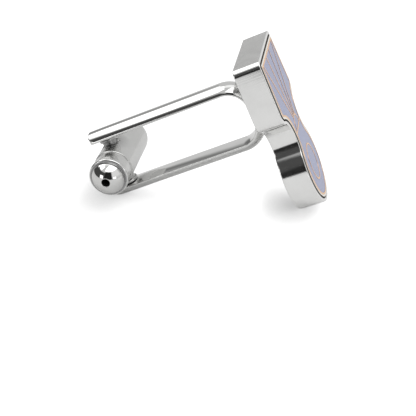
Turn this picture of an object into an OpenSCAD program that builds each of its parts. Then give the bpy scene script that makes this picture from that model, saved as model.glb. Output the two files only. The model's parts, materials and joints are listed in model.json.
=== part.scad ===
// Bullet back cufflink. Lengths are in millimetres and angles in degrees, +Z up.
// It stands as it lies on a table: on the cut tips of the lower arm and on the
// foot of the head. Inside, it is drawn with X along the arms towards the head,
// Z along the pivot pin, and the pin's middle at zero, and is then leaned over.

/* [Head] */
// Thickness of the whole head, from its back to its rim
head_t = 3.3; // [2.6:0.1:5]
// Widest width of the head, at its shoulders
head_w = 13.4; // [12.4:0.1:16]
// Height of the head's top above the middle line of the arms
head_rise = 7.2; // [6:0.1:9]
// Lean of each side of the head, inwards towards the top
side_lean = 4; // [0:0.5:8]
// Radius of each shoulder, where the side turns in to the waist
shoulder_r = 1.6; // [1.5:0.1:2]
// Radius of the two top corners
corner_r = 0.5; // [0.2:0.1:1.2]
// Narrowest width of the head, at its waist
waist_w = 7; // [6:0.1:8]
// Radius of the hollow at each side of the waist
waist_r = 2.9; // [2.6:0.1:3.6]
// Diameter of the round lobe under the waist
lobe_d = 10.6; // [9.4:0.1:11.6]
// Drop of the lobe's centre below the middle line of the arms
lobe_drop = 9; // [8.4:0.1:10.5]

/* [Face] */
// Width of the bare rim around the face
rim_w = 0.4; // [0.3:0.05:0.5]
// Depth of the pocket that the face lies in
pocket_depth = 0.8; // [0.6:0.05:1.4]
// Open groove between the rim and the white border
groove_w = 0.2; // [0.08:0.02:0.3]
// Width of the white border around the face plate
white_w = 0.28; // [0.2:0.02:0.36]
// Height of the face plate above the rim
plate_proud = 0.1; // [0:0.02:0.3]
// Width of the metal edge of the face plate
border_w = 0.2; // [0.14:0.02:0.24]
// Width of the thin metal lines between the enamel fields
line_w = 0.2; // [0.14:0.02:0.35]
// Depth of the enamel fields
enamel_depth = 0.4; // [0.25:0.05:0.5]
// Height of the metal lines above the enamel
line_proud = 0.03; // [0.01:0.01:0.08]
// Angle between two lines of the fan
fan_angle = 17; // [13:1:20]
// Radius of the small hub that the fan starts from
fan_hub_r = 1.5; // [1:0.1:2.2]
// Diameter of the disc inside the ring of the lobe
disc_d = 4.4; // [3:0.1:5.4]

/* [Frame] */
// Distance from the pivot pin to the back of the head
reach = 20.05; // [17:0.05:24]
// Clear gap between the two arms
arm_gap = 6.65; // [6.4:0.05:7.6]
// Length of the arms beyond the pivot pin
overhang = 2.1; // [1.8:0.05:3]
// Width of the half round bar
bar_w = 3.2; // [2.6:0.05:3.8]
// Thickness of the half round bar, flat to crown
bar_t = 1.35; // [1.15:0.05:1.7]
// Height of the straight edges of the bar, below its crown
bar_edge = 0.35; // [0.2:0.05:0.5]
// Radius inside each bend of the frame
bend_r = 2.3; // [1.4:0.05:2.8]
// Length of the slanted cut on the crown at each arm's tip
tip_cut = 1; // [0.6:0.05:1.4]
// Radius of the two corners of each arm's tip, seen along the pin
tip_r = 0.9; // [0.4:0.05:1.3]
// Height of the solder bead between the frame and the head
solder_h = 0.5; // [0.3:0.05:0.8]
// Distance by which the solder bead stands out beside the bar
solder_w = 0.22; // [0.1:0.02:0.4]

/* [Pivot] */
// Diameter of the pivot pin
pin_d = 1.2; // [1:0.05:1.4]
// Depth of the pin's seat in each arm
pin_seat = 0.85; // [0.6:0.05:0.95]
// Radial clearance of the pin in the toggle and the bushings
pin_clear = 0.03; // [0.02:0.01:0.06]
// Diameter of each bushing's flange, next to the arm
flange_d = 2.3; // [2.1:0.1:2.6]
// Thickness of that flange
flange_t = 0.35; // [0.25:0.05:0.45]
// Diameter of each bushing's sleeve, which stands in the toggle's seat
sleeve_d = 1.8; // [1.7:0.05:1.95]
// Gap at each end of a bushing
end_play = 0.04; // [0.02:0.01:0.06]
// Depth of the flats on the middle of the pin, which the plunger clicks on
flat_depth = 0.06; // [0.03:0.01:0.09]
// Height of the flats along the pin
flat_h = 1.9; // [1.6:0.1:2.6]

/* [Toggle] */
// Diameter of the barrel and of the collar's bead
barrel_d = 5; // [4.6:0.1:5.2]
// Distance from the pin to the centre of the barrel's domed end
barrel_back = 6.25; // [5.4:0.05:7.5]
// Distance from the pin to the open end of the barrel, where the collar begins
barrel_front = 3; // [2.8:0.05:3.3]
// Wall of the barrel
barrel_wall = 0.8; // [0.7:0.05:0.9]
// Length of the core's spigot beyond the pin, inside the barrel
spigot_l = 2; // [1.6:0.1:2.6]
// Radius of the rounded edge at the barrel's open end
barrel_edge_r = 0.12; // [0.08:0.02:0.2]
// Diameter of the round seat that is sunk in each side of the barrel, around the pin
seat_d = 2.7; // [2.6:0.1:3]
// Depth of that seat
seat_depth = 0.5; // [0.4:0.05:0.6]
// Distance from the pin to the front of the collar
collar_front = 5.45; // [5.1:0.05:5.8]
// Diameter of the collar behind its bead
collar_d = 4.84; // [4.4:0.02:4.9]
// Radius of the round section of the collar's front bead
rim_bead_r = 0.2; // [0.12:0.02:0.3]
// Diameter of the ball cap where it leaves the collar
cap_d = 4.36; // [4:0.02:4.5]
// Height of the ball cap above the collar
cap_h = 1.57; // [1.3:0.01:1.9]
// Diameter of the hole in the ball cap
cap_hole_d = 1.05; // [0.8:0.05:1.2]
// Diameter of the ball cap's spigot inside the collar
cap_spigot_d = 2.4; // [2.2:0.1:2.8]
// Length of that spigot
cap_spigot_l = 0.9; // [0.6:0.05:1.2]

/* [Detent] */
// Diameter of the bore for the plunger and its spring
chamber_d = 1.6; // [1.45:0.05:1.7]
// Radial clearance of the plunger in its bore
plunger_clear = 0.04; // [0.02:0.01:0.08]
// Length of the plunger
plunger_l = 1.1; // [0.8:0.05:1.3]
// Way that the plunger can go back from the pin
plunger_travel = 0.1; // [0.06:0.01:0.16]
// Wire diameter of the spring
wire_d = 0.22; // [0.18:0.01:0.26]
// Turns of the spring
spring_turns = 6; // [4:1:7]

/* [Hidden] */
$fn = 64;
// One overrun for every cut
over = 0.5;

// Head outline: centres of its arcs, in the plane of the head as [width, height]
lobe_r = lobe_d / 2;
lobe_z = -lobe_drop;
waist_y = waist_w / 2 + waist_r;
waist_z = lobe_z + sqrt(pow(lobe_r + waist_r, 2) - pow(waist_y, 2));
shoulder_y = head_w / 2 - shoulder_r;
shoulder_z = waist_z + sqrt(pow(shoulder_r + waist_r, 2) - pow(waist_y - shoulder_y, 2));
head_drop = lobe_drop + lobe_r;
// Distance from the shoulder's centre line to the straight side, and a sharp inner corner
side_reach = shoulder_y * cos(side_lean) + shoulder_z * sin(side_lean) + shoulder_r;
inner_corner_r = corner_r / 4;

// Frame
sag = bar_t - bar_edge;
crown_r = (pow(bar_w / 2, 2) + pow(sag, 2)) / (2 * sag);
bend_x = reach - bar_t - bend_r;
bend_z = arm_gap / 2 - bend_r;
arm_out = arm_gap / 2 + bar_t;

// Lean: the cut tips and the back edge of the head's foot touch the table together
foot_x = tip_cut - overhang;
lean = atan((head_drop - arm_out) / (reach - foot_x));
tip_drop = tip_cut * tan(lean);
pivot_up = -(foot_x * sin(lean) - arm_out * cos(lean));
low_x = -overhang * cos(lean) - (arm_out - tip_drop) * sin(lean);
high_x = (reach + head_t) * cos(lean) + head_drop * sin(lean);
mid_x = (low_x + high_x) / 2;

// Pivot
pin_r = pin_d / 2;
pin_h = arm_gap + 2 * pin_seat;

// Toggle
barrel_r = barrel_d / 2;
bore_r = barrel_r - barrel_wall;
seat_z = barrel_r - seat_depth;
bushing_from = seat_z + end_play;
bushing_to = arm_gap / 2 - end_play;
cap_sphere_r = (pow(cap_d / 2, 2) + pow(cap_h, 2)) / (2 * cap_h);
cap_centre = collar_front + cap_h - cap_sphere_r;
cap_end = cap_centre + sqrt(pow(cap_sphere_r, 2) - pow(cap_hole_d / 2, 2));
mid_y = (barrel_back + barrel_r - cap_end) / 2;
cap_spigot_r = cap_spigot_d / 2;
cap_seat = collar_front - cap_spigot_l;
plunger_face = pin_r + pin_clear;
plunger_end = plunger_face + plunger_l;
spring_from = plunger_end + plunger_travel + wire_d / 2 + pin_clear;
spring_to = cap_seat - wire_d / 2;
spring_r = chamber_d / 2 - plunger_clear - wire_d / 2;
// Sides of the wire and steps in one turn of the spring
wire_sides = 6;
turn_steps = 14;

echo(lean = lean, pivot_up = pivot_up, mid_x = mid_x, mid_y = mid_y,
    shoulder_z = shoulder_z, waist_z = waist_z, crown_r = crown_r);

// ---- Placing --------------------------------------------------------------

// Leans the part over and sets it down with the middle of its box over the origin
module stand() {
    translate([-mid_x, -mid_y, pivot_up]) rotate([0, -lean, 0]) children();
}

// A flat outline in the head's plane, made a slab from one depth to another
module slab(from, to) {
    translate([reach + from, 0, 0]) rotate([90, 0, 90]) linear_extrude(height = to - from) children();
}

// A shape turned about the toggle's own axis, its profile given as [radius, way from the pin]
// with positive ways towards the ball
module turned() {
    rotate([90, 0, 0]) rotate_extrude() children();
}

// ---- Outlines -------------------------------------------------------------

// Width at a given height of the straight side's line, moved in by an inset
function side_y(z, inset) = (side_reach - inset - z * sin(side_lean)) / cos(side_lean);

// A slice of a disc between two directions, with its apex set back past the centre
module slice(r, from, to) {
    far = 4 * r;
    mid = (from + to) / 2;
    apex = -r / 2 * [cos(mid), sin(mid)];
    start = r * [cos(from), sin(from)];
    end = r * [cos(to), sin(to)];
    intersection() {
        circle(r = r);
        polygon([apex, apex + far / r * (start - apex), far * [cos(mid), sin(mid)],
            apex + far / r * (end - apex)]);
    }
}

// Directions from the lobe and from a shoulder to the centre of the hollow beside them
lobe_turn = atan2(waist_z - lobe_z, waist_y);
shoulder_turn = atan2(waist_z - shoulder_z, waist_y - shoulder_y);

// The straight-sided core of the head's outline, moved in by an inset
module core_outline(inset) {
    r = max(corner_r - inset, inner_corner_r);
    top = head_rise - inset;
    ty = side_y(top - r, inset + r);
    shoulder = shoulder_r - inset;
    right = [
        [ty, top], [ty, top - r], [ty + r * cos(side_lean), top - r + r * sin(side_lean)],
        [shoulder_y + shoulder * cos(side_lean), shoulder_z + shoulder * sin(side_lean)],
        [shoulder_y, shoulder_z], [waist_y, waist_z], [0, lobe_z]
    ];
    left = [for (i = [len(right) - 2:-1:0]) [-right[i][0], right[i][1]]];
    difference() {
        polygon(concat(right, left));
        for (s = [-1, 1]) translate([s * waist_y, waist_z]) circle(r = waist_r + inset);
    }
}

// The head's outline as a solid from one depth to another, moved in by an inset
module outline_slab(from, to, inset) {
    r = max(corner_r - inset, inner_corner_r);
    top = head_rise - inset;
    ty = side_y(top - r, inset + r);
    slab(from, to) core_outline(inset);
    for (s = [0, 1]) mirror([0, s, 0]) {
        slab(from, to) translate([ty, top - r]) slice(r, side_lean, 90);
        slab(from, to) translate([shoulder_y, shoulder_z])
            slice(shoulder_r - inset, shoulder_turn, side_lean);
        slab(from, to) translate([0, lobe_z]) slice(lobe_r - inset, -90, lobe_turn);
    }
}

// Insets of the face: the pocket, the white border, the plate and the enamel
pocket_in = rim_w;
white_in = rim_w + groove_w;
plate_in = white_in + white_w;
enamel_in = plate_in + border_w;

// Everything above the waist line, or below it
module above_waist() {
    translate([-head_w, waist_z + line_w / 2]) square([2 * head_w, head_rise - waist_z]);
}
module below_waist() {
    translate([-head_w, -head_drop - over])
        square([2 * head_w, head_drop + over + waist_z - line_w / 2]);
}

// The part of the fan between two angles from upright, less half a line at each side
module fan_sector(from, to) {
    far = head_rise + head_drop;
    translate([0, waist_z]) intersection() {
        rotate(-from) translate([line_w / 2, -far]) square([far, 2 * far]);
        rotate(-to) translate([-line_w / 2 - far, -far]) square([far, 2 * far]);
    }
}

// Shapes that the enamel fields are cut with, and the depths that they lie between
module fan_cut(from, to) {
    difference() {
        intersection() {
            above_waist();
            fan_sector(from, to);
        }
        translate([0, waist_z]) circle(r = fan_hub_r + line_w / 2);
    }
}

module ring_cut() {
    difference() {
        below_waist();
        translate([0, lobe_z]) circle(r = disc_d / 2 + line_w);
    }
}

module field(from, to) {
    intersection() {
        outline_slab(from, to, enamel_in);
        slab(from - over, to + over) children();
    }
}

module fan_hub_field(from, to) {
    slab(from, to) intersection() {
        translate([0, waist_z]) circle(r = fan_hub_r - line_w / 2);
        above_waist();
    }
}

module disc_field(from, to) {
    slab(from, to) translate([0, lobe_z]) circle(r = disc_d / 2);
}

// Angle of the fan's line by its count; the outermost two lie flat at the waist
function fan_line(i) = i < -1 ? -90 : i > 2 ? 90 : (i - 1 / 2) * fan_angle;

enamel_from = head_t + plate_proud - enamel_depth;
enamel_to = head_t + plate_proud - line_proud;

module enamel_fan(tone, i) {
    color(tone) stand() field(enamel_from, enamel_to) fan_cut(fan_line(i), fan_line(i + 1));
}

// ---- Head -----------------------------------------------------------------

module head_case() {
    color([0.8, 0.8, 0.79]) stand() difference() {
        outline_slab(0, head_t, 0);
        outline_slab(head_t - pocket_depth, head_t + over, pocket_in);
    }
}

module white_border() {
    color([0.93, 0.91, 0.87]) stand() difference() {
        outline_slab(head_t - pocket_depth, enamel_to, white_in);
        outline_slab(head_t - pocket_depth - over, enamel_to + over, plate_in);
    }
}

module face_plate() {
    color([0.85, 0.68, 0.52]) stand() difference() {
        outline_slab(head_t - pocket_depth, head_t + plate_proud, plate_in);
        for (i = [-2:2]) field(enamel_from, head_t + over) fan_cut(fan_line(i), fan_line(i + 1));
        field(enamel_from, head_t + over) ring_cut();
        fan_hub_field(enamel_from, head_t + over);
        disc_field(enamel_from, head_t + over);
    }
}

module enamel_fan_middle() { enamel_fan([0.63, 0.65, 0.76], 0); }
module enamel_fan_left() { enamel_fan([0.62, 0.64, 0.75], -1); }
module enamel_fan_right() { enamel_fan([0.62, 0.64, 0.75], 1); }
module enamel_side_left() { enamel_fan([0.6, 0.62, 0.74], -2); }
module enamel_side_right() { enamel_fan([0.6, 0.62, 0.74], 2); }
module enamel_fan_hub() { color([0.6, 0.62, 0.74]) stand() fan_hub_field(enamel_from, enamel_to); }
module enamel_ring() { color([0.62, 0.64, 0.75]) stand() field(enamel_from, enamel_to) ring_cut(); }
module enamel_disc() { color([0.6, 0.62, 0.74]) stand() disc_field(enamel_from, enamel_to); }

// ---- Frame ----------------------------------------------------------------

// Half round section: flat on the left, crown on the right
module bar_section() {
    translate([0, -bar_w / 2]) square([bar_edge, bar_w]);
    intersection() {
        translate([bar_t - crown_r, 0]) circle(r = crown_r);
        translate([0, -bar_w / 2]) square([bar_t, bar_w]);
    }
}

// The upper half of the bent bar, from the middle of its base to the tip of the arm
module half_bow() {
    translate([reach - bar_t, 0, 0]) linear_extrude(height = bend_z) bar_section();
    translate([bend_x, 0, bend_z]) rotate([90, 0, 0])
        rotate_extrude(angle = 90) translate([bend_r, 0]) bar_section();
    translate([bend_x, 0, arm_gap / 2]) rotate([0, -90, 0])
        linear_extrude(height = bend_x + overhang) bar_section();
}

// What the tip of the upper arm loses: a slanted cut on its crown and two rounded corners
module tip_loss() {
    rotate([90, 0, 0]) linear_extrude(height = bar_w + 2 * over, center = true) polygon([
        [-overhang, arm_out - tip_drop],
        [-overhang + 2 * tip_cut, arm_out + tip_drop],
        [-overhang, arm_out + tip_drop]
    ]);
    for (s = [-1, 1]) translate([-overhang, s * bar_w / 2, arm_gap / 2 - over]) difference() {
        linear_extrude(height = bar_t + 2 * over) square([2 * tip_r, 2 * tip_r], center = true);
        translate([tip_r, -s * tip_r, -over])
            cylinder(h = bar_t + 4 * over, r = tip_r);
        translate([tip_r, -2 * tip_r, -over]) cube([2 * tip_r, 4 * tip_r, bar_t + 4 * over]);
        translate([-2 * tip_r, s > 0 ? -tip_r - 4 * tip_r : tip_r, -over])
            cube([4 * tip_r, 4 * tip_r, bar_t + 4 * over]);
    }
}

module arm_frame() {
    color([0.86, 0.86, 0.85]) stand() difference() {
        union() {
            half_bow();
            mirror([0, 0, 1]) half_bow();
        }
        tip_loss();
        mirror([0, 0, 1]) tip_loss();
        cylinder(h = pin_h, r = pin_r, center = true);
    }
}

module solder_bead() {
    color([0.8, 0.8, 0.8]) stand() difference() {
        translate([reach - solder_h, -bar_w / 2 - solder_w, -bend_z - bend_r / 2])
            cube([solder_h, bar_w + 2 * solder_w, 2 * bend_z + bend_r]);
        half_bow();
        mirror([0, 0, 1]) half_bow();
        for (s = [-1, 1]) translate([reach - solder_h, s * (bar_w / 2 + solder_w), 0])
            rotate([0, 0, 45]) cube([solder_w * sqrt(2), solder_w * sqrt(2), 2 * arm_gap], center = true);
    }
}

// ---- Pivot ----------------------------------------------------------------

module pivot_pin() {
    color([0.7, 0.7, 0.7]) stand() difference() {
        cylinder(h = pin_h, r = pin_r, center = true);
        for (a = [0:90:270]) rotate([0, 0, a])
            translate([pin_r - flat_depth, -pin_r, -flat_h / 2]) cube([pin_r, pin_d, flat_h]);
    }
}

// The pin's hole through the whole toggle
module pin_hole() {
    cylinder(h = barrel_d + 2 * over, r = pin_r + pin_clear, center = true);
}

module bushing(side) {
    color([0.75, 0.75, 0.74]) stand() mirror([0, 0, side]) difference() {
        union() {
            translate([0, 0, bushing_from])
                cylinder(h = bushing_to - bushing_from, r = sleeve_d / 2);
            translate([0, 0, bushing_to - flange_t]) cylinder(h = flange_t, r = flange_d / 2);
        }
        cylinder(h = arm_gap, r = pin_r + pin_clear);
    }
}

module upper_bushing() { bushing(0); }
module lower_bushing() { bushing(1); }

// ---- Toggle ---------------------------------------------------------------

module toggle_core() {
    color([0.78, 0.78, 0.78]) stand() difference() {
        turned() difference() {
            union() {
                // Spigot in the barrel, then the collar with its bead
                translate([0, -spigot_l]) square([bore_r, spigot_l + barrel_front]);
                polygon([[0, barrel_front], [collar_d / 2, barrel_front],
                    [collar_d / 2, collar_front - rim_bead_r], [barrel_r - rim_bead_r, collar_front],
                    [0, collar_front]]);
                translate([barrel_r - rim_bead_r, collar_front - rim_bead_r]) circle(r = rim_bead_r);
            }
            // Bore for the plunger and spring, and the seat of the ball cap
            square([chamber_d / 2, collar_front + over]);
            translate([0, cap_seat]) square([cap_spigot_r, cap_spigot_l + over]);
        }
        pin_hole();
    }
}

module toggle_barrel() {
    color([0.72, 0.72, 0.71]) stand() difference() {
        turned() difference() {
            union() {
                intersection() {
                    translate([0, -barrel_back]) circle(r = barrel_r);
                    translate([0, -barrel_back - barrel_r]) square([barrel_r, barrel_r]);
                }
                translate([0, -barrel_back])
                    square([barrel_r, barrel_back + barrel_front - barrel_edge_r]);
                translate([0, barrel_front - barrel_edge_r])
                    square([barrel_r - barrel_edge_r, barrel_edge_r]);
                translate([barrel_r - barrel_edge_r, barrel_front - barrel_edge_r])
                    circle(r = barrel_edge_r);
            }
            translate([0, -barrel_back]) square([bore_r, barrel_back + barrel_front + over]);
        }
        pin_hole();
        // The seats of the two bushings
        for (s = [0, 1]) mirror([0, 0, s]) translate([0, 0, seat_z])
            cylinder(h = seat_depth + over, r = seat_d / 2);
    }
}

module ball_cap() {
    color([0.85, 0.85, 0.85]) stand() turned() difference() {
        union() {
            intersection() {
                translate([0, cap_centre]) circle(r = cap_sphere_r);
                translate([0, collar_front]) square([cap_sphere_r, cap_h]);
            }
            translate([0, cap_seat]) square([cap_spigot_r, cap_spigot_l]);
        }
        translate([0, cap_seat - over])
            square([cap_hole_d / 2, cap_spigot_l + cap_h + 2 * over]);
    }
}

// ---- Detent ---------------------------------------------------------------

module detent_plunger() {
    color([0.7, 0.66, 0.5]) stand() turned()
        translate([0, plunger_face]) square([chamber_d / 2 - plunger_clear, plunger_l]);
}

// The spring's wire: rings of points along its helix, joined into one tube
function coil_point(i) = let(n = turn_steps * spring_turns, a = 360 * spring_turns * i / n)
    [spring_r * cos(a), -spring_from - (spring_to - spring_from) * i / n, spring_r * sin(a)];
function coil_ring(i) = let(n = turn_steps * spring_turns, a = 360 * spring_turns * i / n,
    c = coil_point(i), q = wire_d / 2)
    [for (k = [0:wire_sides - 1]) let(b = 360 * k / wire_sides)
        c + q * cos(b) * [cos(a), 0, sin(a)] + q * sin(b) * [0, 1, 0]];

module detent_spring() {
    n = turn_steps * spring_turns;
    m = wire_sides;
    points = [for (i = [0:n]) each coil_ring(i)];
    faces = concat(
        [[for (k = [0:m - 1]) k]],
        [for (i = [0:n - 1], k = [0:m - 1]) each [
            [i * m + k, (i + 1) * m + k, (i + 1) * m + (k + 1) % m],
            [i * m + k, (i + 1) * m + (k + 1) % m, i * m + (k + 1) % m]]],
        [[for (k = [m - 1:-1:0]) n * m + k]]
    );
    color([0.6, 0.6, 0.6]) stand() polyhedron(points = points, faces = faces, convexity = 8);
}

head_case();
white_border();
face_plate();
enamel_fan_middle();
enamel_fan_left();
enamel_fan_right();
enamel_side_left();
enamel_side_right();
enamel_fan_hub();
enamel_ring();
enamel_disc();
arm_frame();
solder_bead();
pivot_pin();
upper_bushing();
lower_bushing();
toggle_core();
toggle_barrel();
ball_cap();
detent_plunger();
detent_spring();
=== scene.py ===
"""Looks of the bullet back cufflink: its plated head with an enamelled face, its half round frame
and its turned toggle, on a pale table in plain studio light. Lengths are in metres, or in
millimetres where their name ends in mm.

Inside, a piece is worked out with X along the arms towards the head, Y towards the barrel and Z
along the pivot pin, with the pin's middle at zero, and placed() then leans it over as it stands.
"""

import json
import math

import bmesh
import bpy
import numpy as np
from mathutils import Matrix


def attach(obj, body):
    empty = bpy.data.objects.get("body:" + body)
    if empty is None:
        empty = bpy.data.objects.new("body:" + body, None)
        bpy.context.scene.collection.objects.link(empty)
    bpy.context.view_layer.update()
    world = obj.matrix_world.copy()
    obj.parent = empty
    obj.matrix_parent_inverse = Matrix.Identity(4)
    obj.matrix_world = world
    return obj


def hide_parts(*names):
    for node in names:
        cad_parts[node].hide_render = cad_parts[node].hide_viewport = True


bl_info = {
    "name": "Bullet Back Cufflink",
    "version": (1, 0, 0),
    "blender": (4, 5, 0),
    "location": "View3D > Sidebar > Cufflink",
    "description": "Builds the visible pieces, finishes and studio of a bullet back cufflink",
    "category": "Object",
}

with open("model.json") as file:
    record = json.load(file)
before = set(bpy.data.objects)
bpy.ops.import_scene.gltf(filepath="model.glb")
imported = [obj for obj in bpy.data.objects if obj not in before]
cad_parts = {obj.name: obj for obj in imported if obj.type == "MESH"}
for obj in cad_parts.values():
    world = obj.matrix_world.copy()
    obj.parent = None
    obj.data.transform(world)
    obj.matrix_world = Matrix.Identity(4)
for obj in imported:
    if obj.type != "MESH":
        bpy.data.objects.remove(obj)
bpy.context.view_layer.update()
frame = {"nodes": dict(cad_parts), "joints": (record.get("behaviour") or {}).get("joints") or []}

MM = 0.001
swivel = next(j for j in frame["joints"] if j["name"] == "toggle_swivel")
PIVOT = np.array(swivel["pos_m"], float)
PIN = np.array(swivel["axis"], float) / np.linalg.norm(swivel["axis"])
LEAN = math.atan2(-PIN[0], PIN[2])
ENAMEL_NODES = ("enamel_fan_middle", "enamel_fan_left", "enamel_fan_right", "enamel_side_left",
                "enamel_side_right", "enamel_fan_hub", "enamel_ring", "enamel_disc")


# ---- Sizes and colours that a user would change ---------------------------------------------

def length(name, description, default_mm):
    """A length property, kept in metres, with its default given in millimetres."""
    return bpy.props.FloatProperty(name=name, description=description, default=default_mm * MM,
                                   min=0, precision=5, unit="LENGTH", subtype="DISTANCE")


def angle(name, description, degrees):
    """An angle property with its default given in degrees."""
    return bpy.props.FloatProperty(name=name, description=description,
                                   default=math.radians(degrees), unit="ROTATION", subtype="ANGLE")


def colour(name, description, rgb):
    """A colour property in linear values."""
    return bpy.props.FloatVectorProperty(name=name, description=description, size=3, default=rgb,
                                         min=0, max=1, subtype="COLOR")


def share(name, description, default):
    """A plain factor between 0 and 1."""
    return bpy.props.FloatProperty(name=name, description=description, default=default, min=0,
                                   max=1, subtype="FACTOR")


class CufflinkHead(bpy.types.PropertyGroup):
    """Sizes of the head, measured in its own plane from the middle line of the arms."""

    thickness: length("Thickness", "Whole head, from its back to its rim", 3.3)
    width: length("Width", "Widest width, at the shoulders", 13.4)
    rise: length("Rise", "Height of the top above the middle line of the arms", 7.2)
    side_lean: angle("Side Lean", "Lean of each side, inwards towards the top", 4)
    corner: length("Top Corner", "Radius of the two top corners", 0.9)
    shoulder: length("Shoulder", "Radius of each shoulder", 1.6)
    waist: length("Waist", "Narrowest width", 7)
    hollow: length("Hollow", "Radius of the hollow at each side of the waist", 2.9)
    lobe: length("Lobe", "Diameter of the round lobe", 10.6)
    lobe_drop: length("Lobe Drop", "Drop of the lobe's centre below the arms' middle line", 9)
    rim: length("Rim", "Width of the bare rim around the face", 0.4)
    pocket: length("Pocket", "Depth of the pocket that the face lies in", 0.8)
    back_edge: length("Back Edge", "Rounding of the edge at the back", 0.12)
    front_edge: length("Front Edge", "Rounding of the edge at the front", 0.07)
    pocket_edge: length("Pocket Edge", "Rounding of the rim's inner edge", 0.05)
    border_proud: length("Border Height", "Height of the border's top above the rim", 0.07)


class CufflinkFrame(bpy.types.PropertyGroup):
    """Sizes of the bent half round bar and of the solder at its base."""

    reach: length("Reach", "From the pivot pin to the back of the head", 20.05)
    gap: length("Gap", "Clear gap between the two arms", 6.65)
    overhang: length("Overhang", "Length of the arms beyond the pin", 2.1)
    bar_width: length("Bar Width", "Width of the half round bar", 3.2)
    bar_height: length("Bar Height", "Flat to crown", 1.35)
    bar_edge: length("Bar Edge", "Height of the straight edges under the crown", 0.35)
    bar_round: length("Bar Rounding", "Rounding of the edges along the flat", 0.08)
    flat_worn: length("Flat Worn", "How far polishing has worn the flat down at its edges", 0.15)
    bend: length("Bend", "Radius inside each bend", 2.3)
    tip_cut: length("Tip Cut", "Length of the slanted cut on each tip", 1)
    upper_cut: share("Upper Cut", "Depth of the upper tip's cut against the lower one's", 0)
    tip_corner: length("Tip Corner", "Radius of the tips' corners, seen along the pin", 0.9)
    tip_round: length("Tip Rounding", "Rounding of the crown's end at each tip", 0.25)
    taper: length("Taper", "Length over which the crown falls off to the tip", 3.2)
    taper_drop: length("Taper Drop", "Fall of the crown over that length", 0.03)
    solder_height: length("Solder Height", "Height of the solder up the bar", 0.5)
    solder_width: length("Solder Width", "How far the solder stands out beside the bar", 0.22)
    solder_reach: length("Solder Reach", "Half the length of the solder along the head", 2.175)


class CufflinkToggle(bpy.types.PropertyGroup):
    """Sizes of the toggle, measured along its axis from the pivot pin."""

    barrel: length("Barrel", "Diameter of the barrel and of the collar's bead", 5)
    dome_at: length("Dome", "Centre of the barrel's domed end", 6.25)
    front_at: length("Front", "Open end of the barrel, where the collar begins", 3)
    bore: length("Bore", "Diameter of the bore in the barrel", 3.4)
    spigot: length("Spigot", "Length of the core's spigot beyond the pin", 2)
    front_edge: length("Front Rounding", "Rounding of the barrel's open end", 0.12)
    seat: length("Seat", "Diameter of the round seat of each bushing", 2.7)
    seat_at: length("Seat Height", "From the toggle's axis to the seat's floor", 2)
    seat_edge: length("Seat Rounding", "Rounding of the seat's edge", 0.08)
    pin_hole: length("Pin Hole", "Diameter of the hole for the pin", 1.26)
    flange: length("Flange", "Diameter of each bushing's flange", 2.3)
    flange_height: length("Flange Height", "Thickness of that flange", 0.35)
    sleeve: length("Sleeve", "Diameter of each bushing's sleeve", 1.8)
    bushing_from: length("Bushing From", "Inner end of a bushing along the pin", 2.04)
    bushing_to: length("Bushing To", "Outer end of a bushing along the pin", 3.285)
    collar_to: length("Collar Front", "Front of the collar", 5.45)
    collar: length("Collar", "Diameter of the collar behind its bead", 4.84)
    rim_bead: length("Rim Bead", "Radius of the collar's front bead", 0.2)
    cap: length("Cap", "Diameter of the ball cap at the collar", 4.36)
    ball: length("Ball", "Diameter of the ball's foot, inside the step around it", 4.1)
    ball_step: length("Ball Step", "Height of that step", 0.07)
    cap_height: length("Cap Height", "Height of the ball cap above the collar", 1.57)
    cap_hole: length("Cap Hole", "Diameter of the hole in the ball cap", 1.05)
    cap_spigot: length("Cap Spigot", "Diameter of the cap's spigot", 2.4)
    cap_seat: length("Cap Seat", "Inner end of the cap's spigot", 4.55)
    chamber: length("Chamber", "Diameter of the bore for the plunger and spring", 1.6)


class CufflinkFinish(bpy.types.PropertyGroup):
    """Colours and polish of the finishes."""

    mirror: colour("Mirror Plating", "Polished frame, collar and ball", (0.72, 0.72, 0.71))
    mirror_rough: share("Mirror Roughness", "Roughness of the polished plating", 0.06)
    wall: colour("Head Side", "Plating on the head's sides", (0.86, 0.86, 0.85))
    wall_rough: share("Side Roughness", "Roughness of the head's sides", 0.09)
    top: colour("Head Top", "Brushed plating on the head's top and back", (0.62, 0.62, 0.61))
    top_rough: share("Top Roughness", "Roughness of the head's brushed top", 0.38)
    # Painted light: a lighter copy of the top's brushed plating, so that what the bends mirror of
    # the back is lighter.
    back: colour("Head Back", "Brushed plating on the back of the head", (0.92, 0.92, 0.91))
    satin: colour("Barrel Satin", "Satin plating on the barrel", (0.66, 0.66, 0.65))
    satin_rough: share("Satin Roughness", "Roughness of the barrel", 0.2)
    line: colour("Line Metal", "Warm metal of the lines on the face", (0.95, 0.58, 0.31))
    border: colour("Border Enamel", "Warm white border of the face", (0.86, 0.81, 0.74))
    field: colour("Field Enamel", "Lavender blue fields of the face", (0.24, 0.27, 0.46))
    seam: colour("Seam", "Dull metal in the seam round the ball", (0.34, 0.34, 0.34))
    solder: colour("Solder", "Plated solder", (0.62, 0.62, 0.61))
    steel: colour("Pin Steel", "Plated steel of the pin and bushings", (0.6, 0.6, 0.59))
    brass: colour("Brass", "Brass of the plunger", (0.62, 0.47, 0.2))
    spring: colour("Spring Wire", "Bare spring wire", (0.42, 0.42, 0.42))
    floor: colour("Table", "Pale table top", (0.9, 0.9, 0.9))


def head_sizes():
    """The head's sizes, as they are set in the scene."""
    return bpy.context.scene.cufflink_head


def frame_sizes():
    """The frame's sizes, as they are set in the scene."""
    return bpy.context.scene.cufflink_frame


def toggle_sizes():
    """The toggle's sizes, as they are set in the scene."""
    return bpy.context.scene.cufflink_toggle


def finishes():
    """The colours and polish, as they are set in the scene."""
    return bpy.context.scene.cufflink_finish


# ---- Surfaces --------------------------------------------------------------------------------

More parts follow.
